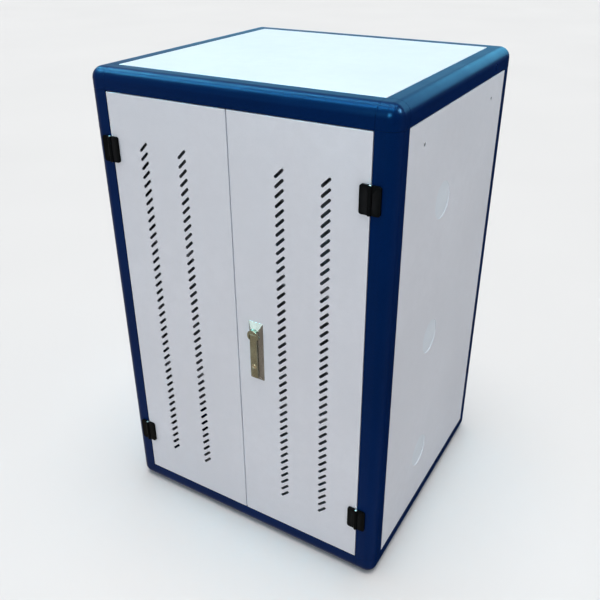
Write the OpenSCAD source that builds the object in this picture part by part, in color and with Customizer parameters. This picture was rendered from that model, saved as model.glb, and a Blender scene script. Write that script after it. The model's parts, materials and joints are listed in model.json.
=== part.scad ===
// Free-standing battery cabinet: a rounded tube frame with corner castings, flush sheet panels,
// two louvred doors on block hinges, a swing-handle rod lock and two inner shelves.
// Millimetres. Origin: underside, centre of the frame's plan. +X right, front at -Y, +Z up.

/* [Cabinet] */
// Overall width
cab_w = 700; // [640:10:800]
// Overall depth of the frame
cab_d = 650; // [560:10:800]
// Overall height
cab_h = 1100; // [1080:10:1300]
// Sheet thickness of the doors, panels and shelves
sheet = 1.5; // [1.2:0.1:2]

/* [Frame] */
// Width of the square frame profile
frame_w = 45; // [42:1:50]
// Outer rounding of the frame profile and corners
corner_r = 25; // [18:1:26]
// Wall of the frame profile and its lips
tube_wall = 2.5; // [2:0.25:3]
// How far a lip stands into the opening
lip_w = 12; // [11:0.5:14]
// Depth of a lip behind the outer face
lip_depth = 18; // [18:0.5:20]
// Length of a corner casting's spigot inside a tube
spigot_l = 28; // [15:1:40]
// Open seam between a tube and a corner casting
seam = 0.4; // [0.3:0.1:0.6]
// Gap between the frame and a panel or door
panel_gap = 1.8; // [1.6:0.1:2.2]

/* [Doors] */
// Gap between the two doors
door_gap = 2.4; // [2.4:0.1:3]
// Folded depth of a door
door_depth = 16; // [15:0.5:16]
// Width of the edge returned inside a door or panel
return_w = 14; // [13:0.5:16]

/* [Vent slots] */
// Length of a slot over its round ends
slot_l = 28; // [20:1:32]
// Width of a slot
slot_w = 6.5; // [3:0.5:7]
// Height step from slot to slot
slot_pitch = 20; // [18:1:22]
// Slots in a column
slot_rows = 41; // [5:2:41]
// Slant of a slot
slot_slant = 45; // [30:5:60]
// Distance of the inner column from the middle of the cabinet
slot_x_inner = 115; // [110:1:125]
// Distance of the outer column from the middle of the cabinet
slot_x_outer = 215; // [205:1:225]

/* [Hinges] */
// Width of a closed hinge
hinge_w = 42; // [38:1:42]
// Height of a hinge
hinge_h = 56; // [50:1:70]
// Thickness of a hinge leaf
leaf_t = 5; // [5:0.25:6]
// Height between the upper and lower hinge centres
hinge_spread = 764; // [600:2:780]
// Diameter of a hinge pin
hinge_pin_d = 5; // [4:0.5:5]

/* [Swing-handle lock] */
// Distance of the lock from the middle of the cabinet
lock_x = 50; // [48:1:56]
// Height of the lower edge of the lock base
base_z0 = 459; // [440:1:480]
// Width of the lock base at the door
base_w = 36.7; // [34:0.1:40]
// Height of the lock base
base_h = 147.5; // [140:0.5:155]
// How far the lock base stands proud
base_proud = 7.5; // [7:0.5:10]
// Width of the flat face of the lock base
base_face_w = 20; // [19:0.5:22]
// Width of the lever at its root
lever_w = 17; // [15:0.5:18]
// Thickness of the lever
lever_t = 5; // [5:0.5:7]
// Diameter of the turning head that carries the lever
head_d = 28; // [28:0.5:30]
// Teeth of the lock gear
gear_teeth = 12; // [10:2:14]
// Tooth module of the lock gear and its racks
gear_module = 1.8; // [1.6:0.1:1.9]

/* [Side fittings] */
// Diameter of a cable hole
cable_hole_d = 80; // [50:1:90]
// Diameter of a fixing hole in a side panel
side_hole_d = 9; // [6:0.5:10]
// Spacing of the two fixing holes of a side panel
side_hole_pitch = 396; // [360:2:400]

/* [Inside] */
// Height of the lower shelf
shelf_low_z = 364; // [320:1:400]
// Height of the upper shelf
shelf_high_z = 695; // [650:1:730]
// Depth of a shelf's folded edge
shelf_hem = 25; // [20:1:30]

/* [Hidden] */
blue = [0.03, 0.20, 0.42];
white = [0.88, 0.89, 0.92];
black = [0.06, 0.06, 0.07];
zinc = [0.70, 0.70, 0.68];
steel = [0.78, 0.78, 0.80];

eps = 0.5;              // extra length of a cutter past a face
gap = 0.3;              // clearance between pieces that move past each other
run = 0.05;             // radial running clearance of a pin or shaft
front_y = -cab_d / 2;
mid_z = cab_h / 2;
edge = frame_w + panel_gap;
post_l = cab_h - 2 * frame_w;
rail_x_l = cab_w - 2 * frame_w;
rail_y_l = cab_d - 2 * frame_w;
panel_w = cab_w - 2 * edge;
panel_d = cab_d - 2 * edge;
panel_h = cab_h - 2 * edge;
door_w = (panel_w - door_gap) / 2;
door_mid_x = (door_w + door_gap) / 2;
skin_y = front_y + sheet;          // inner side of a door's front sheet

screw_r = 2.5;
screw_head_r = 4.5;
screw_head_t = 3;
clear_r = screw_r + 0.25;
lip_screw_inset = 75;              // first and last lip screw, from the end of a member

seal_t = lip_depth - door_depth - gap;
seal_w = 8;
seal_inset = 3;

hinge_x = cab_w / 2 - frame_w - panel_gap / 2;
hinge_y = front_y - leaf_t + 0.5;  // pin line, just in front of the faces
knuckle_r = 4.3;
knuckle_step = hinge_h * 3 / 14;   // half height of the middle knuckle
leaf_relief = knuckle_r + 0.6;
leaf_round = 5;
leaf_screw_x = 13;
leaf_screw_z = 16;

turn_z = base_z0 + base_h - 28.5;  // height of the handle's turning axis
hip_run = 16;                      // length of the sloped ends of the lock base
lever_y = front_y - base_proud - gap;
lever_mid_y = lever_y - lever_t / 2;
lever_tip_z = base_z0 + 9;
key_z = base_z0 + 41;
key_r = 5.5;
pivot_z = turn_z + 1;
pivot_r = 1.5;
head_rise = 1.8;                   // how far the head stands above the lever
neck_r = 9;
shaft_r = 6;
boss_r = 13;
pillar_r = 5;
pillar_step = 22;
low_screw_z = base_z0 + 16;

bar_w = 10;
bar_t = 6;
rod_y = front_y + lip_depth + tube_wall + 0.5; // front side of the rods, just behind the door stops
case_wall = 2;
case_y = rod_y - gap - case_wall;
case_back_y = rod_y + bar_t + gap + case_wall;
case_w = 60;
case_h = 64;
pitch_r = gear_teeth * gear_module / 2;
addendum = 0.8 * gear_module;
dedendum = 1.1 * gear_module;
pressure = 25;
backlash = 0.2;
tooth_pitch = PI * gear_module;
rod_off = pitch_r + dedendum + bar_w / 2;
rod_tip_gap = 1;                   // rod ends stop this far from the door stops
rod_top_z = cab_h - frame_w - lip_w - rod_tip_gap;
rod_low_z = frame_w + lip_w + rod_tip_gap;
rod_tail = 10;

bolt_x = -32;
bolt_r = 4;
bolt_y = rod_y + bolt_r + 1;
bolt_l = 107;
guide_h = 12;

upright_y = [-side_hole_pitch / 2 - 5, side_hole_pitch / 2 - 5];
upright_w = 30;
upright_t = 2;
upright_d = 22;
upright_x = cab_w / 2 - frame_w;
rail_leg = 25;
rail_t = 3;
shelf_x = upright_x - rail_t - 2;
shelf_y = 285;
hem_x = upright_x - rail_leg - 2;
cable_z = [198, 530, 857];
cable_y = -76;
plug_sink = 1.1;
side_hole_z = 1006;
anchor_x = 460;
anchor_y = 420;
anchor_r = 6.5;

// ---- Placing -------------------------------------------------------------------------------

// Puts a shape drawn into +X +Y +Z from an outer corner at one of the eight corners.
module at_corner(sx, sy, sz) {
    translate([sx * cab_w / 2, sy * cab_d / 2, sz > 0 ? cab_h : 0])
        mirror([sx > 0 ? 1 : 0, 0, 0]) mirror([0, sy > 0 ? 1 : 0, 0])
            mirror([0, 0, sz > 0 ? 1 : 0]) children();
}

// Lays local Z along X: local X becomes Y and local Y becomes Z.
module along_x() { rotate([90, 0, 90]) children(); }

// Lays local Z along Y: local X becomes Z and local Y becomes X.
module along_y() { along_x() along_x() children(); }

// Stands a front view up: local X is X, local Y is Z and local Z runs back from the front face.
module from_front() { translate([0, front_y, 0]) rotate([90, 0, 0]) mirror([0, 0, 1]) children(); }

// A cylinder along Y from y0 to y1.
module bar_y(r, x, z, y0, y1) {
    translate([x, y1, z]) rotate([90, 0, 0]) cylinder(r = r, h = y1 - y0, $fn = 48);
}

// A cylinder along X from x0 to x1.
module bar_x(r, y, z, x0, x1) {
    translate([x0, y, z]) rotate([0, 90, 0]) cylinder(r = r, h = x1 - x0, $fn = 48);
}

// A box between two corners.
module block(lo, hi) { translate(lo) cube(hi - lo); }

// ---- Frame ---------------------------------------------------------------------------------

// Outline of the frame profile, moved in by inset, with its outer corner at the origin.
module profile(inset) {
    intersection() {
        translate([corner_r, corner_r]) circle(r = corner_r - inset, $fn = 96);
        square(corner_r + eps);
    }
    translate([corner_r, inset]) square([frame_w - corner_r - inset, frame_w - 2 * inset]);
    translate([inset, corner_r]) square([frame_w - 2 * inset, frame_w - corner_r - inset]);
}

// Heights or lengths of the screws along a member.
function lip_screws(length) = [lip_screw_inset, length / 2, length - lip_screw_inset];

// A tube with its two lips. cut_u and cut_v shorten the lips at both ends.
module member(length, cut_u, cut_v, holes_u, holes_v) {
    lip_mid = frame_w + lip_w / 2;
    difference() {
        linear_extrude(length) difference() {
            profile(0);
            profile(tube_wall);
        }
        children();
    }
    difference() {
        translate([frame_w - tube_wall / 2, lip_depth, cut_u])
            cube([lip_w + tube_wall / 2, tube_wall, length - 2 * cut_u]);
        if (holes_u) for (t = lip_screws(length))
            bar_y(clear_r, lip_mid, t, lip_depth - eps, lip_depth + tube_wall + eps);
    }
    difference() {
        translate([lip_depth, frame_w - tube_wall / 2, cut_v])
            cube([tube_wall, lip_w + tube_wall / 2, length - 2 * cut_v]);
        if (holes_v) for (t = lip_screws(length))
            bar_x(clear_r, lip_mid, t, lip_depth - eps, lip_depth + tube_wall + eps);
    }
}

// Heights of the four screws behind the hinge leaves on one side.
function hinge_zs() = [mid_z - hinge_spread / 2, mid_z + hinge_spread / 2];

module post(sx, sy) {
    color(blue) at_corner(sx, sy, -1) translate([0, 0, frame_w])
        member(post_l, 0, 0, sy > 0, true)
            if (sy < 0) for (z = hinge_zs(), s = [-1, 1])
                bar_y(clear_r, cab_w / 2 - hinge_x - leaf_screw_x,
                      z + s * leaf_screw_z - frame_w, -eps, tube_wall + eps);
}

module rail_x(sy, sz) {
    color(blue) at_corner(-1, sy, sz) translate([frame_w, 0, 0]) along_x()
        member(rail_x_l, lip_w, lip_w, false, false);
}

module rail_y(sx, sz) {
    color(blue) at_corner(sx, -1, sz) translate([0, frame_w, 0]) along_y()
        member(rail_y_l, lip_w, 0, false, true);
}

// One corner casting: a rounded block, a seam short of the tubes, and three spigots that fill
// the ends of the tubes.
module corner_casting(sx, sy, sz) {
    flat = frame_w - corner_r;
    spigot_in = 10;
    spigot_w = frame_w - tube_wall - gap - spigot_in;
    color(blue) at_corner(sx, sy, sz) {
        intersection() {
            union() {
                translate([corner_r, 0, 0]) along_x() linear_extrude(flat) profile(0);
                intersection() {
                    translate([0, corner_r, 0]) along_y() linear_extrude(flat) profile(0);
                    cube([corner_r, frame_w, frame_w]);
                }
                translate([corner_r, corner_r, 0]) rotate([0, 0, 180])
                    rotate_extrude(angle = 90, $fn = 96) intersection() {
                        union() {
                            translate([0, corner_r]) circle(r = corner_r, $fn = 96);
                            translate([0, corner_r]) square([corner_r, flat]);
                        }
                        square([corner_r, frame_w]);
                    }
            }
            cube(frame_w - seam);
        }
        for (k = [0, 1, 2]) rotate_axes(k)
            translate([spigot_in, spigot_in, frame_w - 2 * seam])
                cube([spigot_w, spigot_w, spigot_l + 2 * seam]);
    }
}

// Turns Z into Z, X or Y for k of 0, 1 or 2.
module rotate_axes(k) {
    if (k == 0) children();
    if (k == 1) along_x() children();
    if (k == 2) along_y() children();
}

module front_left_post() { post(-1, -1); }
module front_right_post() { post(1, -1); }
module back_left_post() { post(-1, 1); }
module back_right_post() { post(1, 1); }
module front_top_rail() { rail_x(-1, 1); }
module back_top_rail() { rail_x(1, 1); }
module left_top_rail() { rail_y(-1, 1); }
module right_top_rail() { rail_y(1, 1); }
module front_bottom_rail() { rail_x(-1, -1); }
module back_bottom_rail() { rail_x(1, -1); }
module left_bottom_rail() { rail_y(-1, -1); }
module right_bottom_rail() { rail_y(1, -1); }
module front_left_top_corner() { corner_casting(-1, -1, 1); }
module front_right_top_corner() { corner_casting(1, -1, 1); }
module back_left_top_corner() { corner_casting(-1, 1, 1); }
module back_right_top_corner() { corner_casting(1, 1, 1); }
module front_left_bottom_corner() { corner_casting(-1, -1, -1); }
module front_right_bottom_corner() { corner_casting(1, -1, -1); }
module back_left_bottom_corner() { corner_casting(-1, 1, -1); }
module back_right_bottom_corner() { corner_casting(1, 1, -1); }

// ---- Panels --------------------------------------------------------------------------------

// A folded tray with returned edges. Its face is at z = 0 and it runs to z = depth.
// Children are cut out of it.
module tray(w, h, depth) {
    difference() {
        translate([-w / 2, -h / 2, 0]) cube([w, h, depth]);
        translate([-w / 2 + sheet, -h / 2 + sheet, sheet])
            cube([w - 2 * sheet, h - 2 * sheet, depth - 2 * sheet]);
        translate([-w / 2 + return_w, -h / 2 + return_w, sheet])
            cube([w - 2 * return_w, h - 2 * return_w, depth]);
        children();
    }
}

// Screw holes in a tray's returns, along its two edges at +-w/2.
module return_holes(w, length) {
    for (s = [-1, 1], t = lip_screws(length))
        translate([s * (w / 2 + panel_gap - lip_w / 2), t - length / 2, lip_depth - sheet - eps])
            cylinder(r = screw_r, h = sheet + 2 * eps, $fn = 48);
}

module top_panel() {
    color(white) translate([0, 0, cab_h]) mirror([0, 0, 1])
        tray(panel_w, panel_d, lip_depth) return_holes(panel_w, rail_y_l);
}

module base_plate() {
    color(white) tray(panel_w, panel_d, lip_depth) {
        return_holes(panel_w, rail_y_l);
        for (x = [-1, 1], y = [-1, 1])
            translate([x * anchor_x / 2, y * anchor_y / 2, -eps])
                cylinder(r = anchor_r, h = sheet + 2 * eps, $fn = 48);
    }
}

// The left side panel; the right one mirrors it.
module side_panel(s) {
    color(white) mirror([s > 0 ? 1 : 0, 0, 0]) translate([-cab_w / 2, 0, mid_z]) along_x()
        tray(panel_d, panel_h, lip_depth) {
            return_holes(panel_d, post_l);
            for (z = cable_z) translate([cable_y, z - mid_z, -eps])
                cylinder(d = cable_hole_d, h = sheet + 2 * eps, $fn = 96);
            for (y = upright_y) translate([y, side_hole_z - mid_z, -eps])
                cylinder(d = side_hole_d, h = sheet + 2 * eps, $fn = 48);
        }
}

module left_side_panel() { side_panel(-1); }
module right_side_panel() { side_panel(1); }

// Blanking plugs, held behind the sheet with their faces below it.
module hole_plugs(s) {
    color(white) mirror([s > 0 ? 1 : 0, 0, 0]) for (z = cable_z) {
        bar_x(cable_hole_d / 2 + 3, cable_y, z, -cab_w / 2 + sheet, -cab_w / 2 + sheet + 2);
        bar_x(cable_hole_d / 2 - 0.2, cable_y, z, -cab_w / 2 + plug_sink, -cab_w / 2 + sheet + 1);
    }
}

module left_hole_plugs() { hole_plugs(-1); }
module right_hole_plugs() { hole_plugs(1); }

module back_panel() {
    vent_rows = 8;
    color(white) translate([0, cab_d / 2, mid_z]) rotate([90, 0, 0])
        tray(panel_w, panel_h, lip_depth) {
            return_holes(panel_w, post_l);
            for (s = [-1, 1], i = [0 : vent_rows - 1], x = [-1, 1])
                translate([x * slot_x_inner, s * (panel_h / 2 - 70 - i * slot_pitch), -eps])
                    linear_extrude(sheet + 2 * eps) slot(90, slot_w);
        }
}

// ---- Doors ---------------------------------------------------------------------------------

// A slot with round ends, along X.
module slot(length, width) {
    square([length - width, width], center = true);
    for (s = [-1, 1]) translate([s * (length - width) / 2, 0]) circle(d = width, $fn = 24);
}

// The two columns of slanted slots of one door, as a front view about the door's centre.
module door_slots(s) {
    for (x = [slot_x_inner, slot_x_outer], i = [0 : slot_rows - 1])
        translate([s * x - s * door_mid_x, (i - (slot_rows - 1) / 2) * slot_pitch - 2])
            rotate(slot_slant) slot(slot_l, slot_w);
}

module door_shell(s) {
    from_front() translate([s * door_mid_x, mid_z, 0]) tray(door_w, panel_h, door_depth) {
        translate([0, 0, -eps]) linear_extrude(sheet + 2 * eps) door_slots(s);
        for (z = hinge_zs(), k = [-1, 1])
            translate([s * (hinge_x - leaf_screw_x - door_mid_x), z + k * leaf_screw_z - mid_z, -eps])
                cylinder(r = clear_r, h = sheet + 2 * eps, $fn = 32);
    }
}

module left_door() { color(white) door_shell(-1); }

module right_door() {
    color(white) difference() {
        door_shell(1);
        bar_y(boss_r + gap, lock_x, turn_z, front_y - eps, skin_y + eps);
        for (s = [-1, 1])
            bar_y(pillar_r + gap, lock_x, turn_z + s * pillar_step, front_y - eps, skin_y + eps);
        bar_y(clear_r, lock_x, low_screw_z, front_y - eps, skin_y + eps);
    }
}

// A vertical channel behind the front sheet, between the two columns of slots.
module door_stiffener(s) {
    mid_x = s * (slot_x_inner + slot_x_outer) / 2;
    half = 15;
    deep = door_depth - sheet - 1;
    color(white) difference() {
        block([mid_x - half, skin_y, edge + 20], [mid_x + half, skin_y + deep, cab_h - edge - 20]);
        block([mid_x - half + sheet, skin_y - eps, edge],
              [mid_x + half - sheet, skin_y + deep - sheet, cab_h - edge]);
    }
}

module left_door_stiffener() { door_stiffener(-1); }
module right_door_stiffener() { door_stiffener(1); }

// A foam strip round the back of a door.
module door_seal(s) {
    w = door_w - 2 * seal_inset;
    h = panel_h - 2 * seal_inset;
    color(black) from_front() translate([s * door_mid_x, mid_z, door_depth])
        linear_extrude(seal_t) difference() {
            square([w, h], center = true);
            square([w - 2 * seal_w, h - 2 * seal_w], center = true);
        }
}

module left_door_seal() { door_seal(-1); }
module right_door_seal() { door_seal(1); }

// ---- Hinges --------------------------------------------------------------------------------

// Outline of a leaf from the pin line out to +X, with rounded outer corners.
module leaf_outline() {
    w = hinge_w / 2;
    h = hinge_h / 2;
    translate([0, -h]) square([w - leaf_round, hinge_h]);
    translate([0, -h + leaf_round]) square([w, hinge_h - 2 * leaf_round]);
    for (s = [-1, 1]) translate([w - leaf_round, s * (h - leaf_round)])
        circle(r = leaf_round, $fn = 32);
}

// One leaf with its knuckles about the pin line at the origin, running to +X.
// middle is true for the leaf that has the middle knuckle.
module leaf(middle, bore_r) {
    h = hinge_h / 2;
    spans = middle ? [[-knuckle_step, knuckle_step]]
                   : [[-h, -knuckle_step - gap], [knuckle_step + gap, h]];
    others = middle ? [[-h - eps, -knuckle_step - gap / 2], [knuckle_step + gap / 2, h + eps]]
                    : [[-knuckle_step - gap, knuckle_step + gap]];
    back = front_y - hinge_y;
    difference() {
        union() {
            difference() {
                translate([0, back, 0]) rotate([90, 0, 0]) linear_extrude(leaf_t) leaf_outline();
                for (o = others)
                    block([-eps, back - leaf_t - eps, o[0]], [leaf_relief, back + eps, o[1]]);
            }
            for (k = spans) translate([0, 0, k[0]]) cylinder(r = knuckle_r, h = k[1] - k[0], $fn = 64);
        }
        translate([0, 0, -h - eps]) cylinder(r = bore_r, h = hinge_h + 2 * eps, $fn = 48);
        for (s = [-1, 1]) bar_y(screw_r, leaf_screw_x, s * leaf_screw_z, back - leaf_t + 1, back + eps);
    }
}

// Puts a leaf drawn to +X at both hinge heights of side s, running out or in.
module at_hinges(s, outward) {
    for (z = hinge_zs()) translate([s * hinge_x, hinge_y, z])
        mirror([s * outward < 0 ? 1 : 0, 0, 0]) children();
}

module left_frame_hinge_leaves() { color(black) at_hinges(-1, 1) leaf(false, hinge_pin_d / 2); }
module right_frame_hinge_leaves() { color(black) at_hinges(1, 1) leaf(false, hinge_pin_d / 2); }
module left_door_hinge_leaves() { color(black) at_hinges(-1, -1) leaf(true, hinge_pin_d / 2 + run); }
module right_door_hinge_leaves() { color(black) at_hinges(1, -1) leaf(true, hinge_pin_d / 2 + run); }

// Straight pins that stand a little out of the knuckles.
module hinge_pins(s) {
    past = 0.8;
    color(steel) at_hinges(s, 1) translate([0, 0, -hinge_h / 2 - past])
        cylinder(d = hinge_pin_d, h = hinge_h + 2 * past, $fn = 48);
}

module left_hinge_pins() { hinge_pins(-1); }
module right_hinge_pins() { hinge_pins(1); }

// ---- Screws --------------------------------------------------------------------------------

// A pan-head screw along +Z: its shank goes up from the head's seat at the origin.
module screw(length) {
    translate([0, 0, -eps]) cylinder(r = screw_r, h = length + eps, $fn = 48);
    difference() {
        translate([0, 0, -screw_head_t]) cylinder(r = screw_head_r, h = screw_head_t, $fn = 32);
        translate([0, 0, -screw_head_t - eps]) cylinder(r = 1.6, h = 2, $fn = 6);
    }
}

// Screws driven forward into the leaves of side s: rel is the offset from the pin line.
module leaf_screws(s, rel, seat_y) {
    for (z = hinge_zs(), k = [-1, 1])
        translate([s * (hinge_x + rel), seat_y, z + k * leaf_screw_z]) rotate([90, 0, 0])
            screw(seat_y - front_y + leaf_t - 1.5);
}

// Screws through the lips of a panel's two edges, drawn as in tray().
module panel_screws(w, length) {
    for (s = [-1, 1], t = lip_screws(length))
        translate([s * (w / 2 + panel_gap - lip_w / 2), t - length / 2, lip_depth + tube_wall])
            mirror([0, 0, 1]) screw(tube_wall + sheet + 2);
}

module frame_screws() {
    color(steel) {
        for (s = [-1, 1]) {
            leaf_screws(s, leaf_screw_x, front_y + tube_wall);
            mirror([s > 0 ? 1 : 0, 0, 0]) {
                translate([-cab_w / 2, 0, mid_z]) along_x() panel_screws(panel_d, post_l);
                for (z = [shelf_low_z, shelf_high_z], y = upright_y)
                    translate([-upright_x + rail_t, y, z - rail_leg * 0.6]) rotate([0, -90, 0])
                        screw(rail_t + upright_t + 2);
            }
        }
        translate([0, 0, cab_h]) mirror([0, 0, 1]) panel_screws(panel_w, rail_y_l);
        panel_screws(panel_w, rail_y_l);
        translate([0, cab_d / 2, mid_z]) rotate([90, 0, 0]) panel_screws(panel_w, post_l);
    }
}

module left_door_screws() { color(steel) leaf_screws(-1, -leaf_screw_x, skin_y); }

module right_door_screws() {
    color(steel) {
        leaf_screws(1, -leaf_screw_x, skin_y);
        for (s = [-1, 1]) translate([lock_x, case_back_y, turn_z + s * pillar_step])
            rotate([90, 0, 0]) screw(case_back_y - case_y + 10);
        translate([lock_x, skin_y, low_screw_z]) rotate([90, 0, 0]) screw(sheet + 5);
    }
}

// ---- Inside --------------------------------------------------------------------------------

// Four perforated channels that stand between the side rails.
module shelf_uprights() {
    hole_step = 50;
    color(steel) for (s = [-1, 1], y = upright_y) mirror([s > 0 ? 1 : 0, 0, 0])
        difference() {
            block([-upright_x - upright_d, y - upright_w / 2, frame_w],
                  [-upright_x, y + upright_w / 2, cab_h - frame_w]);
            block([-upright_x - upright_d - eps, y - upright_w / 2 + upright_t, frame_w - eps],
                  [-upright_x - upright_t, y + upright_w / 2 - upright_t, cab_h - frame_w + eps]);
            for (z = [frame_w + 35 : hole_step : cab_h - frame_w - 30])
                block([-upright_x - upright_t - eps, y - 9, z - 4], [-upright_x + eps, y + 9, z + 4]);
            for (z = [shelf_low_z, shelf_high_z])
                bar_x(screw_r, y, z - rail_leg * 0.6, -upright_x - upright_t - eps, -upright_x + eps);
        }
}

// Four angles that carry the shelves.
module shelf_rails() {
    end_y = 20;
    y0 = upright_y[0] - upright_w / 2 - end_y;
    y1 = upright_y[1] + upright_w / 2 + end_y;
    color(steel) for (s = [-1, 1], z = [shelf_low_z, shelf_high_z]) mirror([s > 0 ? 1 : 0, 0, 0])
        difference() {
            block([-upright_x, y0, z - rail_leg], [-upright_x + rail_leg, y1, z]);
            block([-upright_x + rail_t, y0 - eps, z - rail_leg - eps],
                  [-upright_x + rail_leg + eps, y1 + eps, z - rail_t]);
            for (y = upright_y)
                bar_x(screw_r, y, z - rail_leg * 0.6, -upright_x - eps, -upright_x + rail_t + eps);
        }
}

// A shelf sheet with its front and back edges folded down between the angles.
module shelf(z) {
    color(white) {
        block([-shelf_x, -shelf_y + 25, z], [shelf_x, shelf_y, z + sheet]);
        for (y = [-shelf_y + 25, shelf_y - sheet])
            block([-hem_x, y, z - shelf_hem], [hem_x, y + sheet, z + eps]);
    }
}

module lower_shelf() { shelf(shelf_low_z); }
module upper_shelf() { shelf(shelf_high_z); }

// ---- Bolts of the left door ----------------------------------------------------------------

// Turns a shape drawn for the upper end of the door over to its lower end.
module at_end(s) {
    if (s > 0) children();
    else translate([0, 0, cab_h]) mirror([0, 0, 1]) children();
}

// A round bolt with a finger knob, drawn back from the door stop.
module bolt(s) {
    knob_z = rod_top_z - 57;
    color(steel) at_end(s) {
        translate([bolt_x, bolt_y, rod_top_z - bolt_l]) cylinder(r = bolt_r, h = bolt_l, $fn = 48);
        bar_y(5, bolt_x, knob_z, bolt_y, bolt_y + 14);
    }
}

module left_upper_bolt() { bolt(1); }
module left_lower_bolt() { bolt(-1); }

// Four blocks behind the front sheet that guide the bolts.
module left_bolt_guides() {
    half = 9;
    color(black) for (s = [-1, 1], drop = [22, 97]) at_end(s) difference() {
        block([bolt_x - half, skin_y, rod_top_z - drop],
              [bolt_x + half, bolt_y + bolt_r + 3, rod_top_z - drop + guide_h]);
        translate([bolt_x, bolt_y, rod_top_z - drop - eps])
            cylinder(r = bolt_r + run, h = guide_h + 2 * eps, $fn = 48);
        block([bolt_x - half + 3, skin_y + 2, rod_top_z - drop - eps],
              [bolt_x + half - 3, bolt_y - bolt_r - 3, rod_top_z - drop + guide_h + eps]);
    }
}

// ---- Swing-handle rod lock -----------------------------------------------------------------

// Outline of the lock base with rounded corners, from the middle of its lower edge.
module base_outline() {
    round_r = 4;
    half = base_w / 2;
    translate([-half + round_r, 0]) square([base_w - 2 * round_r, base_h]);
    translate([-half, round_r]) square([base_w, base_h - 2 * round_r]);
    for (x = [-1, 1], z = [round_r, base_h - round_r])
        translate([x * (half - round_r), z]) circle(r = round_r, $fn = 32);
}

// The housing on the front of the door: a hipped block with a boss and two pillars behind it.
module lock_base() {
    back_y = case_y;
    pillar_bore = 11;
    low_bore = 5.5;
    top_y = front_y - base_proud;
    color(zinc) difference() {
        union() {
            intersection() {
                translate([lock_x, front_y, base_z0]) linear_extrude(base_h)
                    polygon([[-base_w / 2, 0], [base_w / 2, 0],
                             [base_face_w / 2, -base_proud], [-base_face_w / 2, -base_proud]]);
                translate([lock_x - base_w / 2, front_y, base_z0]) along_x() linear_extrude(base_w)
                    polygon([[0, 0], [-base_proud, hip_run],
                             [-base_proud, base_h - hip_run], [0, base_h]]);
                translate([lock_x, front_y + eps, base_z0]) rotate([90, 0, 0])
                    linear_extrude(base_proud + 2 * eps) base_outline();
            }
            bar_y(boss_r, lock_x, turn_z, front_y - eps, back_y);
            for (s = [-1, 1])
                bar_y(pillar_r, lock_x, turn_z + s * pillar_step, front_y - eps, back_y);
        }
        bar_y(neck_r + run, lock_x, turn_z, top_y - eps, back_y + eps);
        for (s = [-1, 1])
            bar_y(screw_r, lock_x, turn_z + s * pillar_step, back_y - pillar_bore, back_y + eps);
        bar_y(screw_r, lock_x, low_screw_z, front_y - low_bore, front_y + eps);
    }
}

// The gear housing behind the door, open at the top and bottom for the rods.
module lock_case() {
    channel = rod_off + bar_w / 2 + gap;
    color(steel) difference() {
        block([lock_x - case_w / 2, case_y, turn_z - case_h / 2],
              [lock_x + case_w / 2, case_back_y, turn_z + case_h / 2]);
        block([lock_x - channel, rod_y - gap, turn_z - case_h / 2 - eps],
              [lock_x + channel, rod_y + bar_t + gap, turn_z + case_h / 2 + eps]);
        bar_y(shaft_r + run, lock_x, turn_z, case_y - eps, case_back_y + eps);
        for (s = [-1, 1])
            bar_y(screw_r, lock_x, turn_z + s * pillar_step, case_y - eps, case_back_y + eps);
    }
}

// The turning head, with a fork for the lever, its neck and the shaft for the gear.
module lock_spindle() {
    fork = lever_w / 2 + gap;
    fork_top = pivot_z + lever_t / 2 + gap;
    face_y = front_y - base_proud;
    color(zinc) {
        difference() {
            bar_y(head_d / 2, lock_x, turn_z, lever_y - lever_t - head_rise, lever_y);
            block([lock_x - fork, lever_y - lever_t - head_rise - eps, turn_z - head_d],
                  [lock_x + fork, lever_y + eps, fork_top]);
            bar_x(pivot_r, lever_mid_y, pivot_z, lock_x - head_d, lock_x + head_d);
        }
        intersection() {
            bar_y(neck_r, lock_x, turn_z, lever_y - 1, face_y + 1);
            block([lock_x - neck_r, lever_y - 1, fork_top], [lock_x + neck_r, face_y + 1, turn_z + neck_r]);
        }
        bar_y(neck_r, lock_x, turn_z, face_y, case_y - gap);
        bar_y(shaft_r, lock_x, turn_z, case_y - gap - eps, case_back_y + 1);
    }
}

module handle_pin() {
    half = head_d / 2 - 1;
    color(steel) bar_x(pivot_r, lever_mid_y, pivot_z, lock_x - half, lock_x + half);
}

// The lever: a round root in the fork, sides that widen to a rounded tip, a sloped thumb end
// and a bore for the key cylinder.
module lock_lever() {
    tip_r = 4;
    half = lever_w / 2;
    tip_half = half + 0.8;
    slope_l = 10;
    front = lever_y - lever_t;
    color(zinc) difference() {
        union() {
            translate([lock_x, lever_y, 0]) rotate([90, 0, 0]) linear_extrude(lever_t) {
                polygon([[-half, pivot_z], [-tip_half, lever_tip_z + tip_r],
                         [tip_half, lever_tip_z + tip_r], [half, pivot_z]]);
                translate([-tip_half + tip_r, lever_tip_z]) square([2 * (tip_half - tip_r), 2 * tip_r]);
                for (s = [-1, 1]) translate([s * (tip_half - tip_r), lever_tip_z + tip_r])
                    circle(r = tip_r, $fn = 32);
            }
            bar_x(lever_t / 2, lever_mid_y, pivot_z, lock_x - half, lock_x + half);
        }
        bar_x(pivot_r + run, lever_mid_y, pivot_z, lock_x - lever_w, lock_x + lever_w);
        bar_y(key_r + run, lock_x, key_z, front - eps, lever_y + eps);
        translate([lock_x - lever_w, 0, 0]) along_x() linear_extrude(2 * lever_w)
            polygon([[front - eps, lever_tip_z - eps], [front + lever_t / 2, lever_tip_z - eps],
                     [front + lever_t / 2, lever_tip_z], [front, lever_tip_z + slope_l],
                     [front - eps, lever_tip_z + slope_l]]);
    }
}

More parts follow.
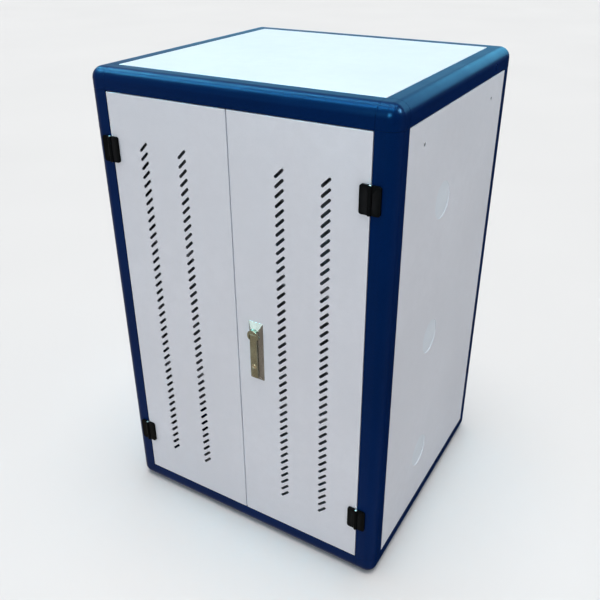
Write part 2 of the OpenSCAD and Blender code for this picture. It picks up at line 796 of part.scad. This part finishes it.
// The plug that the key turns, with its keyway.
module key_cylinder() {
    color(steel) difference() {
        bar_y(key_r, lock_x, key_z, lever_y - lever_t, lever_y);
        block([lock_x - 0.8, lever_y - lever_t - eps, key_z - 3.5],
              [lock_x + 0.8, lever_y - lever_t + 3, key_z + 3.5]);
    }
}

// Involute function in degrees, for a circle of radius r over the base circle.
function involute(r) = let (a = acos(pitch_r * cos(pressure) / r)) tan(a) * 180 / PI - a;

// Half the angle of a gear tooth at radius r.
function tooth_half(r) = 90 / gear_teeth - backlash * 45 / pitch_r / PI + involute(pitch_r) - involute(r);

// The lock gear's outline, with a tooth pointing along +X.
module gear_outline() {
    base_r = pitch_r * cos(pressure);
    root_r = pitch_r - dedendum;
    tip_r = pitch_r + addendum;
    steps = 5;
    radii = [for (i = [0 : steps]) base_r + (tip_r - base_r) * i / steps];
    polygon([for (t = [0 : gear_teeth - 1])
        let (a = t * 360 / gear_teeth, up = tooth_half(base_r)) each concat(
            [root_r * [cos(a - up), sin(a - up)]],
            [for (r = radii) r * [cos(a - tooth_half(r)), sin(a - tooth_half(r))]],
            [for (i = [steps : -1 : 0]) let (r = radii[i])
                r * [cos(a + tooth_half(r)), sin(a + tooth_half(r))]],
            [root_r * [cos(a + up), sin(a + up)]])]);
}

module lock_gear() {
    thick = bar_t + 0.2;
    color(steel) translate([lock_x, rod_y - 0.1 + thick, turn_z]) rotate([90, 0, 0])
        linear_extrude(thick) difference() {
            gear_outline();
            circle(r = shaft_r, $fn = 48);
        }
}

// The upper rod about the gear's centre, in a front view: its rack faces the gear from the left.
module rod_outline(length) {
    flank = tan(pressure);
    half = tooth_pitch / 4 - backlash;
    translate([-rod_off - bar_w / 2, -rod_tail]) square([bar_w, length + rod_tail]);
    for (i = [-2 : 4]) translate([-pitch_r, (i + 0.5) * tooth_pitch])
        polygon([[-dedendum - eps, -half - dedendum * flank], [-dedendum, -half - dedendum * flank],
                 [addendum, -half + addendum * flank], [addendum, half - addendum * flank],
                 [-dedendum, half + dedendum * flank], [-dedendum - eps, half + dedendum * flank]]);
}

module upper_lock_rod() {
    color(steel) translate([lock_x, rod_y + bar_t, turn_z]) rotate([90, 0, 0])
        linear_extrude(bar_t) rod_outline(rod_top_z - turn_z);
}

module lower_lock_rod() {
    color(steel) translate([lock_x, rod_y + bar_t, turn_z]) rotate([90, 0, 0])
        linear_extrude(bar_t) rotate(180) rod_outline(turn_z - rod_low_z);
}

// Four blocks behind the front sheet that guide the flat rods.
module lock_rod_guides() {
    half = bar_w / 2 + 4;
    spots = [[-rod_off, rod_top_z - 30], [-rod_off, (rod_top_z + turn_z) / 2],
             [rod_off, rod_low_z + 30], [rod_off, (rod_low_z + turn_z) / 2]];
    color(black) for (p = spots) translate([lock_x + p[0], 0, p[1] - guide_h / 2]) difference() {
        block([-half, skin_y, 0], [half, case_back_y, guide_h]);
        block([-bar_w / 2 - gap, rod_y - gap, -eps], [bar_w / 2 + gap, rod_y + bar_t + gap, guide_h + eps]);
        block([-half + 3, skin_y + 2, -eps], [half - 3, rod_y - 3, guide_h + eps]);
    }
}

front_left_post();
front_right_post();
back_left_post();
back_right_post();
front_top_rail();
back_top_rail();
left_top_rail();
right_top_rail();
front_bottom_rail();
back_bottom_rail();
left_bottom_rail();
right_bottom_rail();
front_left_top_corner();
front_right_top_corner();
back_left_top_corner();
back_right_top_corner();
front_left_bottom_corner();
front_right_bottom_corner();
back_left_bottom_corner();
back_right_bottom_corner();
top_panel();
left_side_panel();
right_side_panel();
back_panel();
base_plate();
left_hole_plugs();
right_hole_plugs();
shelf_uprights();
shelf_rails();
lower_shelf();
upper_shelf();
left_frame_hinge_leaves();
right_frame_hinge_leaves();
left_hinge_pins();
right_hinge_pins();
frame_screws();
left_door();
left_door_stiffener();
left_door_seal();
left_door_hinge_leaves();
left_door_screws();
left_bolt_guides();
left_upper_bolt();
left_lower_bolt();
right_door();
right_door_stiffener();
right_door_seal();
right_door_hinge_leaves();
right_door_screws();
lock_base();
lock_case();
lock_rod_guides();
lock_spindle();
lock_gear();
handle_pin();
lock_lever();
key_cylinder();
upper_lock_rod();
lower_lock_rod();
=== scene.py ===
"""Looks of the battery cabinet: finishes, edge rounding, stage, lights and camera."""
import json
import math

import bmesh
import bpy
from mathutils import Matrix, Vector


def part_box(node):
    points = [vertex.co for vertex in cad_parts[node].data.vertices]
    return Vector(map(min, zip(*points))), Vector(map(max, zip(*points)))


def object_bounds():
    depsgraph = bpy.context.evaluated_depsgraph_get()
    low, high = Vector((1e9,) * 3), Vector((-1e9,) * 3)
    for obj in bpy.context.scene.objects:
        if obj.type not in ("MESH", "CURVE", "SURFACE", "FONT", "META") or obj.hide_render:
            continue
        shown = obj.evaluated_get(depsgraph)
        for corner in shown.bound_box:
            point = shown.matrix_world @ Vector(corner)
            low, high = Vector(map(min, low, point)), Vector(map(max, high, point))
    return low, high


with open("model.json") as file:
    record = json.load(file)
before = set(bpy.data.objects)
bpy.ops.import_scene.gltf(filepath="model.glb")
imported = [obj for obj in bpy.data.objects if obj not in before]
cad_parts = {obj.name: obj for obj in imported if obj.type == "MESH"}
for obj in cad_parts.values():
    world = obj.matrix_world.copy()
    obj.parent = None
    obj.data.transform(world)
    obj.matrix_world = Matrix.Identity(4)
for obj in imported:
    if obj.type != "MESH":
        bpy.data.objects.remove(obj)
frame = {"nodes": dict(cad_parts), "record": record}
cad_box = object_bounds()
NODES = frame["nodes"]
MM = 0.001

# ---- Camera --------------------------------------------------------------------------------

CAMERA_AT = (0.7804, -1.3735, 1.3798)
CAMERA_TURN = 31.06          # degrees about Z
CAMERA_TILT = 62.22          # degrees up from straight down
CAMERA_ROLL = -0.52          # degrees about the line of sight
CAMERA_LENS = 42.03          # mm
CAMERA_SENSOR = 36           # mm
CAMERA_SHIFT = (0.0080, -0.0345)
CAMERA_REACH = 100           # m


def add_camera():
    data = bpy.data.cameras.new("camera")
    data.lens = CAMERA_LENS
    data.sensor_width = CAMERA_SENSOR
    data.shift_x, data.shift_y = CAMERA_SHIFT
    data.clip_end = CAMERA_REACH
    cam = bpy.data.objects.new("camera", data)
    turn = Matrix.Rotation(math.radians(CAMERA_TURN), 4, "Z")
    tilt = Matrix.Rotation(math.radians(CAMERA_TILT), 4, "X")
    roll = Matrix.Rotation(math.radians(CAMERA_ROLL), 4, "Z")
    cam.matrix_world = Matrix.Translation(CAMERA_AT) @ turn @ tilt @ roll
    bpy.context.collection.objects.link(cam)
    bpy.context.scene.camera = cam


# ---- Material toolkit ----------------------------------------------------------------------

MIX_FACTOR, MIX_A, MIX_B = 0, 6, 7     # a Mix node's sockets when it mixes colours
MIX_OUT = 2


class Tree:
    """A material's node tree, with short calls for the nodes that the finishes share."""

    def __init__(self, name):
        self.material = bpy.data.materials.new(name)
        self.material.use_nodes = True
        self.nodes = self.material.node_tree.nodes
        self.links = self.material.node_tree.links
        self.nodes.clear()
        self.shader = self.nodes.new("ShaderNodeBsdfPrincipled")
        output = self.nodes.new("ShaderNodeOutputMaterial")
        self.links.new(self.shader.outputs[0], output.inputs["Surface"])
        self.place = self.nodes.new("ShaderNodeTexCoord").outputs["Object"]

    def put(self, socket, value):
        """Links an output socket, or sets a plain value."""
        if isinstance(value, bpy.types.NodeSocket):
            self.links.new(value, socket)
        else:
            socket.default_value = value

    def set(self, **values):
        """Sets the shader's own sockets: base_color becomes Base Color."""
        for key, value in values.items():
            name = key.replace("_", " ").title().replace("Ior", "IOR")
            self.put(self.shader.inputs[name], value)

    def stretched(self, scale):
        """Object coordinates scaled by axis: a small number draws the pattern out along it."""
        node = self.nodes.new("ShaderNodeMapping")
        node.inputs["Scale"].default_value = scale
        self.links.new(self.place, node.inputs["Vector"])
        return node.outputs[0]

    def noise(self, scale, detail, rough=0.5, place=None):
        node = self.nodes.new("ShaderNodeTexNoise")
        node.inputs["Scale"].default_value = scale
        node.inputs["Detail"].default_value = detail
        node.inputs["Roughness"].default_value = rough
        self.links.new(place or self.place, node.inputs["Vector"])
        return node.outputs["Fac"]

    def cells(self, scale):
        """Distance to the nearest of scattered points."""
        node = self.nodes.new("ShaderNodeTexVoronoi")
        node.inputs["Scale"].default_value = scale
        self.links.new(self.place, node.inputs["Vector"])
        return node.outputs["Distance"]

    def span(self, value, start, end, low=0.0, high=1.0):
        """Maps a value from start..end to low..high, held at both ends."""
        node = self.nodes.new("ShaderNodeMapRange")
        node.clamp = True
        self.links.new(value, node.inputs["Value"])
        for name, number in (("From Min", start), ("From Max", end),
                             ("To Min", low), ("To Max", high)):
            node.inputs[name].default_value = number
        return node.outputs["Result"]

    def add(self, a, b):
        node = self.nodes.new("ShaderNodeMath")
        node.operation = "ADD"
        self.put(node.inputs[0], a)
        self.put(node.inputs[1], b)
        return node.outputs[0]

    def blend(self, factor, a, b):
        """Colour a where factor is 0 and colour b where it is 1."""
        node = self.nodes.new("ShaderNodeMix")
        node.data_type = "RGBA"
        self.put(node.inputs[MIX_FACTOR], factor)
        for socket, colour in ((MIX_A, a), (MIX_B, b)):
            plain = not isinstance(colour, bpy.types.NodeSocket)
            self.put(node.inputs[socket], (*colour, 1.0) if plain else colour)
        return node.outputs[MIX_OUT]

    def bump(self, height, depth, strength, under=None):
        """Relief of a depth in mm, on top of the relief given as under."""
        node = self.nodes.new("ShaderNodeBump")
        node.inputs["Strength"].default_value = strength
        node.inputs["Distance"].default_value = depth * MM
        self.links.new(height, node.inputs["Height"])
        if under is not None:
            self.links.new(under, node.inputs["Normal"])
        return node.outputs["Normal"]

    def worn_edges(self):
        """0 on faces and 1 on sharp outer edges."""
        pointy = self.nodes.new("ShaderNodeNewGeometry").outputs["Pointiness"]
        return self.span(pointy, 0.53, 0.62)


def shade(colour, factor):
    return tuple(min(1.0, c * factor) for c in colour)


# ---- Finishes ------------------------------------------------------------------------------


def blue_powder_coat(name):
    """Semi-gloss coat: a fine orange peel, slow colour drift and a slightly paler grain."""
    deep = (0.0004, 0.0115, 0.071)
    t = Tree(name)
    drift = t.noise(scale=2.6, detail=3)
    grain = t.noise(scale=620, detail=2)
    colour = t.blend(t.span(drift, 0.35, 0.65), shade(deep, 0.88), shade(deep, 1.12))
    colour = t.blend(t.span(grain, 0.45, 0.65, high=0.35), colour, shade(deep, 1.5))
    t.set(base_color=colour, specular_ior_level=0.07, specular_tint=(0.10, 0.50, 0.90, 1.0))
    smudge = t.noise(scale=13, detail=4, rough=0.6)
    t.set(roughness=t.span(smudge, 0.3, 0.7, low=0.27, high=0.35))
    t.set(normal=t.bump(t.noise(scale=420, detail=1), depth=0.06, strength=0.5))
    return t.material


def pale_powder_coat(name):
    """Fine-textured coat on the sheet metal, with a soft mottle and faint wipe marks."""
    pale = (0.71, 0.725, 0.785)
    t = Tree(name)
    mottle = t.noise(scale=34, detail=4, rough=0.6)
    cloud = t.noise(scale=3.1, detail=3)
    grain = t.noise(scale=1500, detail=2, rough=0.6)
    colour = t.blend(t.span(cloud, 0.35, 0.65), shade(pale, 0.975), shade(pale, 1.02))
    colour = t.blend(t.span(mottle, 0.40, 0.60, high=0.5), colour, shade(pale, 0.965))
    colour = t.blend(t.span(grain, 0.52, 0.70, high=0.30), colour, shade(pale, 0.80))
    t.set(base_color=colour, specular_ior_level=0.42)
    wiped = t.noise(scale=9, detail=5, rough=0.65, place=t.stretched((1.0, 1.0, 0.25)))
    t.set(roughness=t.span(wiped, 0.3, 0.7, low=0.40, high=0.52))
    sand = t.bump(t.noise(scale=700, detail=2, rough=0.6), depth=0.25, strength=0.35)
    t.set(normal=t.bump(grain, depth=0.08, strength=0.35, under=sand))
    return t.material


def plug_plastic(name):
    """Moulded blanking plugs: slightly cooler and smoother than the panels."""
    cool = (0.69, 0.735, 0.80)
    t = Tree(name)
    cloud = t.noise(scale=14, detail=3)
    t.set(base_color=t.blend(t.span(cloud, 0.35, 0.65), shade(cool, 0.97), shade(cool, 1.02)))
    t.set(roughness=t.span(t.noise(scale=60, detail=3), 0.3, 0.7, low=0.46, high=0.58))
    t.set(specular_ior_level=0.45)
    t.set(normal=t.bump(t.noise(scale=1800, detail=2), depth=0.06, strength=0.4))
    return t.material


def satin_black(name, roughness=(0.34, 0.46), grain_scale=1300, grain_depth=0.07):
    """Black hinges and moulded guides, with a fine cast grain and greyer rubbed edges."""
    black = (0.0016, 0.0016, 0.0019)
    rubbed = (0.010, 0.010, 0.011)
    t = Tree(name)
    grain = t.noise(scale=grain_scale, detail=3, rough=0.6)
    cloud = t.noise(scale=20, detail=3)
    colour = t.blend(t.span(cloud, 0.3, 0.7), shade(black, 0.8), shade(black, 1.5))
    colour = t.blend(t.worn_edges(), colour, rubbed)
    t.set(base_color=colour, specular_ior_level=0.03)
    t.set(roughness=t.span(t.noise(scale=90, detail=3), 0.3, 0.7, *roughness))
    t.set(normal=t.bump(grain, grain_depth, strength=0.5))
    return t.material


def foam(name):
    """Closed-cell door seal."""
    dark, light = (0.010, 0.010, 0.011), (0.030, 0.030, 0.032)
    t = Tree(name)
    cell = t.cells(scale=900)
    t.set(base_color=t.blend(t.span(cell, 0.0, 0.9), dark, light))
    t.set(roughness=t.span(t.noise(scale=300, detail=2), 0.3, 0.7, low=0.80, high=0.95))
    t.set(specular_ior_level=0.2)
    t.set(normal=t.bump(cell, depth=0.3, strength=0.6))
    return t.material


def plated_steel(name, tint=(0.56, 0.58, 0.60), rolled=(1, 1, 0.04)):
    """Zinc-plated steel: spangles, fine rolling lines along one axis, small dull patches."""
    t = Tree(name)
    yellow = (tint[0] * 1.02, tint[1] * 0.98, tint[2] * 0.86)
    lines = t.noise(scale=1400, detail=2, place=t.stretched(rolled))
    spangle = t.cells(scale=150)
    colour = t.blend(t.span(spangle, 0.0, 0.8), shade(tint, 0.90), shade(tint, 1.10))
    tarnish = t.noise(scale=7, detail=3)
    colour = t.blend(t.span(tarnish, 0.45, 0.70, high=0.6), colour, yellow)
    t.set(base_color=colour, metallic=1.0)
    patches = t.noise(scale=45, detail=4, rough=0.6)
    t.set(roughness=t.add(t.span(patches, 0.35, 0.70, low=0.26, high=0.46),
                          t.span(lines, 0.3, 0.7, low=-0.04, high=0.06)))
    t.set(normal=t.bump(lines, depth=0.04, strength=0.5))
    return t.material


def cast_zinc(name, warm=(0.275, 0.245, 0.212)):
    """Satin cast metal: cloudy patches, long polishing lines and brighter rubbed edges."""
    t = Tree(name)
    lines = t.noise(scale=900, detail=3, rough=0.55, place=t.stretched((1, 1, 0.03)))
    cloud = t.noise(scale=38, detail=4, rough=0.6, place=t.stretched((1, 1, 0.4)))
    colour = t.blend(t.span(cloud, 0.35, 0.68), shade(warm, 0.86), shade(warm, 1.14))
    colour = t.blend(t.worn_edges(), colour, shade(warm, 2.0))
    t.set(base_color=colour, metallic=1.0)
    t.set(roughness=t.add(t.span(cloud, 0.3, 0.7, low=0.22, high=0.32),
                          t.span(lines, 0.3, 0.7, low=-0.03, high=0.04)))
    t.set(normal=t.bump(lines, depth=0.02, strength=0.5))
    return t.material


def key_brass(name):
    """The key plug: nickel worn through to brass, with a finely pitted face."""
    warm = (0.46, 0.36, 0.24)
    t = Tree(name)
    cloud = t.noise(scale=160, detail=3)
    t.set(base_color=t.blend(t.span(cloud, 0.35, 0.65), shade(warm, 0.8), shade(warm, 1.2)))
    t.set(roughness=t.span(t.noise(scale=240, detail=3), 0.3, 0.7, low=0.24, high=0.38))
    t.set(metallic=1.0)
    t.set(normal=t.bump(t.cells(scale=1100), depth=0.03, strength=0.5))
    return t.material


FINISHES = {                 # by material slot
    "frame_paint": blue_powder_coat,
    "corner_paint": blue_powder_coat,
    "panel_paint": pale_powder_coat,
    "plug_plastic": plug_plastic,
    "plated_steel": plated_steel,
    "screw_steel": lambda name: plated_steel(name, tint=(0.60, 0.60, 0.58), rolled=(1, 0.04, 1)),
    "hinge_black": satin_black,
    "foam": foam,
    "guide_plastic": lambda name: satin_black(name, (0.45, 0.60), 1700, 0.05),
    "rod_steel": lambda name: plated_steel(name, tint=(0.55, 0.57, 0.60)),
    "lock_zinc": cast_zinc,
    "handle_zinc": lambda name: cast_zinc(name, warm=(0.275, 0.255, 0.185)),
    "key_steel": key_brass,
}
materials = {}


def finish(slot):
    if slot not in materials:
        materials[slot] = FINISHES[slot](slot)
    return materials[slot]


def dress_nodes():
    for entry in frame["record"]["subparts"]:
        mesh = NODES[entry["node"]].data
        mesh.materials.clear()
        mesh.materials.append(finish(entry["material_slot"]))


# ---- Edge rounding on the CAD nodes --------------------------------------------------------

JOIN_DISTANCE = 0.005 * MM   # points closer than this are one point
FLAT_ANGLE = 0.4             # degrees between faces that count as one flat
SHARP_ANGLE = 60.0           # degrees, for the cut edges of folded sheet
LARGE_FACE_WEIGHT = 80       # how far large faces set the normals
FOLD_RADIUS = 1.6 * MM       # outside radius of the folded sheet edges
FOLD_SEGMENTS = 4
SHEET_BURR = 0.22 * MM       # rounding of cut sheet edges and slots
SAME_PLACE = 0.02 * MM       # how near a fold is to the outside of its tray
MORE_THAN_ONE_SIDE = 1.5     # an outer edge lies on two sides of its tray's box
CAST_SOFTENING = 0.5         # share of the way to its neighbours that a point moves
CAST_SOFTENING_STEPS = 8
CAST_FACES_KEPT = 0.35       # share of the resampled faces
CAST = {                     # grid in mm, by material slot
    "lock_zinc": 0.40,
    "handle_zinc": 0.32,
}
ROUNDING = {                 # by material slot: width in mm, segments, sharpest angle left alone
    "panel_paint": (0.3, 2, 38),
    "frame_paint": (0.3, 2, 38),
    "corner_paint": (0.3, 2, 38),
    "plug_plastic": (0.6, 3, 38),
    "plated_steel": (0.25, 1, 38),
    "screw_steel": (0.35, 2, 38),
    "hinge_black": (0.8, 3, 38),
    "foam": (0.5, 2, 38),
    "guide_plastic": (0.2, 1, 50),
    "rod_steel": (0.1, 1, 50),
    "key_steel": (0.3, 2, 38),
}


def fold_marks(name, lo, hi):
    """A node group that marks the twelve outer edges of a folded tray for the bevel."""
    group = bpy.data.node_groups.new(name, "GeometryNodeTree")
    group.interface.new_socket("Geometry", in_out="INPUT", socket_type="NodeSocketGeometry")
    group.interface.new_socket("Geometry", in_out="OUTPUT", socket_type="NodeSocketGeometry")
    nodes, links = group.nodes, group.links
    source = nodes.new("NodeGroupInput")
    sink = nodes.new("NodeGroupOutput")
    split = nodes.new("ShaderNodeSeparateXYZ")
    links.new(nodes.new("GeometryNodeInputPosition").outputs[0], split.inputs[0])

    def arithmetic(operation, a, b):
        node = nodes.new("ShaderNodeMath")
        node.operation = operation
        for socket, value in zip(node.inputs, (a, b)):
            if isinstance(value, bpy.types.NodeSocket):
                links.new(value, socket)
            else:
                socket.default_value = value
        return node.outputs[0]

    sides_met = 0.0
    for axis in range(3):
        middle, half = (lo[axis] + hi[axis]) / 2, (hi[axis] - lo[axis]) / 2
        offset = arithmetic("SUBTRACT", split.outputs[axis], middle)
        size = arithmetic("MAXIMUM", offset, arithmetic("MULTIPLY", offset, -1.0))
        outside = arithmetic("GREATER_THAN", size, half - SAME_PLACE)
        sides_met = arithmetic("ADD", outside, sides_met)
    store = nodes.new("GeometryNodeStoreNamedAttribute")
    store.data_type = "FLOAT"
    store.domain = "EDGE"
    store.inputs["Name"].default_value = "bevel_weight_edge"
    links.new(source.outputs[0], store.inputs["Geometry"])
    links.new(arithmetic("GREATER_THAN", sides_met, MORE_THAN_ONE_SIDE), store.inputs["Value"])
    links.new(store.outputs[0], sink.inputs[0])
    return group


def clean(obj):
    """Joins the mesh along its edges and merges coplanar triangles, ready for a bevel."""
    join = obj.modifiers.new("join", "WELD")
    join.merge_threshold = JOIN_DISTANCE
    flat = obj.modifiers.new("flat", "DECIMATE")
    flat.decimate_type = "DISSOLVE"
    flat.angle_limit = math.radians(FLAT_ANGLE)
    obj.data.polygons.foreach_set("use_smooth", [True] * len(obj.data.polygons))


def even_shading(obj):
    """Lets large faces set the normals, so flats stay flat and roundings run into them."""
    step = obj.modifiers.new("normals", "WEIGHTED_NORMAL")
    step.mode = "FACE_AREA_WITH_ANGLE"
    step.weight = LARGE_FACE_WEIGHT


def bevel(obj, width, segments, limit="ANGLE", angle=SHARP_ANGLE):
    step = obj.modifiers.new("bevel", "BEVEL")
    step.width = width
    step.segments = segments
    step.limit_method = limit
    step.angle_limit = math.radians(angle)
    step.use_clamp_overlap = True


def fold(obj):
    """Rounds a tray's folded edges, then breaks its cut edges."""
    lo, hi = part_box(obj.name)
    marks = obj.modifiers.new("folds", "NODES")
    marks.node_group = fold_marks("folds_" + obj.name, lo, hi)
    bevel(obj, FOLD_RADIUS, FOLD_SEGMENTS, limit="WEIGHT")
    bevel(obj, SHEET_BURR, 1)


def cast(obj, grain):
    """Resamples a casting on a fine grid and softens it, which rounds every edge and corner."""
    grid = obj.modifiers.new("grid", "REMESH")
    grid.mode = "VOXEL"
    grid.voxel_size = grain
    grid.use_smooth_shade = True
    soft = obj.modifiers.new("soften", "SMOOTH")
    soft.factor = CAST_SOFTENING
    soft.iterations = CAST_SOFTENING_STEPS
    thin = obj.modifiers.new("thin", "DECIMATE")
    thin.ratio = CAST_FACES_KEPT


def round_nodes():
    for entry in frame["record"]["subparts"]:
        obj = NODES[entry["node"]]
        slot = entry["material_slot"]
        clean(obj)
        if slot in CAST:
            cast(obj, CAST[slot] * MM)
            continue
        if slot == "panel_paint" and "stiffener" not in obj.name:
            fold(obj)
        else:
            width, segments, angle = ROUNDING[slot]
            bevel(obj, width * MM, segments, angle=angle)
        even_shading(obj)


# ---- Stage ---------------------------------------------------------------------------------

FLOOR_SIZE = 60.0            # m
FLOOR_GAP = 0.2 * MM         # between the cabinet's underside and the floor
FLOOR_TONES = (0.708, 0.710, 0.714), (0.728, 0.730, 0.734)
WALL_RADIUS = 0.49 * FLOOR_SIZE
WALL_HEIGHT = 80.0           # m, half of it under the floor
WALL_SIDES = 96
WALL_TONES = (0.835, 0.850, 0.860), (0.845, 0.860, 0.870)


def add_floor():
    t = Tree("studio_floor")
    tone = t.noise(scale=0.8, detail=2)
    t.set(base_color=t.blend(t.span(tone, 0.3, 0.7), *FLOOR_TONES))
    t.set(roughness=0.9, specular_ior_level=0.0)
    mesh = bpy.data.meshes.new("floor")
    half = FLOOR_SIZE / 2
    corners = [(-half, -half, 0), (half, -half, 0), (half, half, 0), (-half, half, 0)]
    mesh.from_pydata(corners, [], [(0, 1, 2, 3)])
    mesh.materials.append(t.material)
    floor = bpy.data.objects.new("floor", mesh)
    floor.location.z = cad_box[0][2] - FLOOR_GAP
    bpy.context.collection.objects.link(floor)
    floor.visible_glossy = False


def add_backdrop():
    """A pale round wall at the rim of the floor, which only the camera sees."""
    t = Tree("backdrop")
    tone = t.noise(scale=0.05, detail=2)
    t.set(base_color=(0.0, 0.0, 0.0, 1.0), specular_ior_level=0.0)
    t.set(emission_color=t.blend(t.span(tone, 0.3, 0.7), *WALL_TONES), emission_strength=1.0)
    t.material.cycles.emission_sampling = "NONE"
    bm = bmesh.new()
    bmesh.ops.create_cone(bm, segments=WALL_SIDES, radius1=WALL_RADIUS, radius2=WALL_RADIUS,
                          depth=WALL_HEIGHT)
    mesh = bpy.data.meshes.new("backdrop")
    bm.to_mesh(mesh)
    bm.free()
    mesh.materials.append(t.material)
    wall = bpy.data.objects.new("backdrop", mesh)
    for ray in ("diffuse", "glossy", "transmission", "volume_scatter", "shadow"):
        setattr(wall, "visible_" + ray, False)
    bpy.context.collection.objects.link(wall)


# ---- Lights --------------------------------------------------------------------------------

SUN_POWER = 2.12
SUN_COLOUR = (1.0, 0.928, 0.855)
SUN_SPREAD = 40              # degrees
SKY_BASE = (0.525, 0.51, 0.495, 1)
SKY_AREAS = (                # direction, inner and outer half angle in degrees, colour there
    ((0.0, -0.4, 0.9), 10, 70, (0.52, 0.575, 0.645)),
    ((-0.30, 0.93, 0.18), 14, 40, (0.36, 1.02, 1.42)),
    ((0.30, 0.74, -0.60), 25, 62, (0.010, 0.012, 0.016)),
    ((-0.25, -0.60, -0.76), 20, 60, (0.52, 0.475, 0.39)),
)
STRIP_COLOUR = (0.16, 0.73, 1.0)
SOFTBOXES = (                # name, place, target, size, power in W, colour
    ("strip_back", (-1.2, 0.30, 3.2), (-1.2, 0.30, 0), (5.0, 0.3), 340, STRIP_COLOUR),
    ("strip_front", (-1.2, -0.92, 3.2), (-1.2, -0.92, 0), (5.0, 0.3), 460, STRIP_COLOUR),
    ("window_back", (1.6, 6.5, 3.0), (0.3, 0, 1.1), (5.0, 2.5), 150, (0.14, 0.66, 1.0)),
    ("window_front", (-2.4, -4.7, 1.5), (0, -0.3, 0.6), (1.8, 1.2), 22, (0.60, 0.90, 1.0)),
)
NEAR_CORNER = (0.325, -0.30, 1.075)
SPOT_DISTANCE = 6.0          # m from the near corner
SPOT_SIZE = (1.8, 1.8)
SPOT_POWER = 1700            # W
SPOT_COLOUR = (0.60, 0.88, 1.0)
SPOT_WAYS = (("spot_front", (0.0, -0.91, 0.41)), ("spot_side", (0.72, 0.23, 0.655)))


def add_softbox(name, at, target, size, power, colour):
    """A rectangular lamp that only shows as a reflection in glossy surfaces."""
    data = bpy.data.lights.new(name, "AREA")
    data.shape = "RECTANGLE"
    data.size, data.size_y = size
    data.energy = power
    data.color = colour
    lamp = bpy.data.objects.new(name, data)
    lamp.location = at
    lamp.rotation_euler = (Vector(target) - Vector(at)).to_track_quat("-Z", "Y").to_euler()
    lamp.visible_diffuse = False
    bpy.context.collection.objects.link(lamp)


def add_overhead_sun():
    """Broad light from straight above, which lifts the floor and the top panel most."""
    data = bpy.data.lights.new("overhead", "SUN")
    data.energy = SUN_POWER
    data.color = SUN_COLOUR
    data.angle = math.radians(SUN_SPREAD)
    bpy.context.collection.objects.link(bpy.data.objects.new("overhead", data))


def add_studio_sky():
    """A pale surround: cooler overhead, bright low behind, dark where only reflections look."""
    world = bpy.data.worlds.new("studio")
    world.use_nodes = True
    nodes, links = world.node_tree.nodes, world.node_tree.links
    way = nodes.new("ShaderNodeTexCoord").outputs["Generated"]
    colour = SKY_BASE
    for aim, inner, outer, tint in SKY_AREAS:
        dot = nodes.new("ShaderNodeVectorMath")
        dot.operation = "DOT_PRODUCT"
        dot.inputs[1].default_value = Vector(aim).normalized()
        links.new(way, dot.inputs[0])
        lobe = nodes.new("ShaderNodeMapRange")
        lobe.interpolation_type = "SMOOTHSTEP"
        lobe.inputs["From Min"].default_value = math.cos(math.radians(outer))
        lobe.inputs["From Max"].default_value = math.cos(math.radians(inner))
        links.new(dot.outputs["Value"], lobe.inputs["Value"])
        mix = nodes.new("ShaderNodeMix")
        mix.data_type = "RGBA"
        mix.inputs[MIX_B].default_value = (*tint, 1)
        links.new(lobe.outputs["Result"], mix.inputs[MIX_FACTOR])
        if isinstance(colour, tuple):
            mix.inputs[MIX_A].default_value = colour
        else:
            links.new(colour, mix.inputs[MIX_A])
        colour = mix.outputs[MIX_OUT]
    links.new(colour, nodes["Background"].inputs["Color"])
    bpy.context.scene.world = world


def add_lights():
    add_studio_sky()
    add_overhead_sun()
    for box in SOFTBOXES:
        add_softbox(*box)
    for name, way in SPOT_WAYS:
        at = Vector(NEAR_CORNER) + SPOT_DISTANCE * Vector(way)
        add_softbox(name, at, NEAR_CORNER, SPOT_SIZE, SPOT_POWER, SPOT_COLOUR)
    bpy.context.scene.view_settings.view_transform = "Standard"


add_camera()
add_floor()
add_backdrop()
add_lights()
dress_nodes()
round_nodes()
